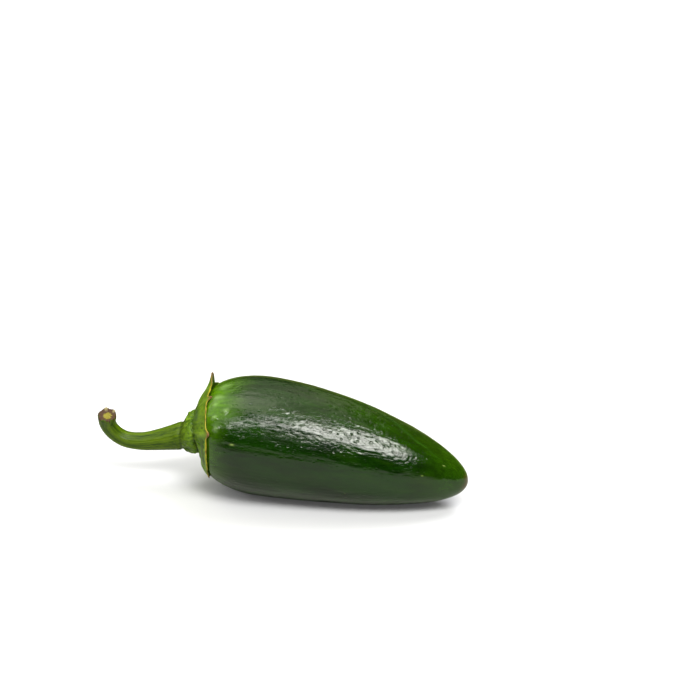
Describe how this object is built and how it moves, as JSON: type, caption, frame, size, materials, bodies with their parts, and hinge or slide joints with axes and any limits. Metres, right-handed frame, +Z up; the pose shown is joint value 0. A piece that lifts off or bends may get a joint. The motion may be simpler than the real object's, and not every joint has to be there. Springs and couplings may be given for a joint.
{
  "type": "chilli pepper",
  "caption": "Tapered glossy green chilli pepper pod lying on its belly, with a toothed green calyx and a short curled stalk.",
  "frame": {"origin": "in the small flat under the pod's belly that it rests on, straight below its centre of mass", "axes": "+X from the stalk to the tip of the pod, +Z up from the surface it lies on, -Y towards the side the stalk's cut end leans to"},
  "size_m": [0.1089, 0.0348, 0.035],
  "materials": {
    "pod_skin": "gloss",
    "stalk_green": "satin"
  },
  "bodies": {
    "root": {"pod": "pod_skin", "calyx_and_stalk": "stalk_green"}
  },
  "joints": []
}
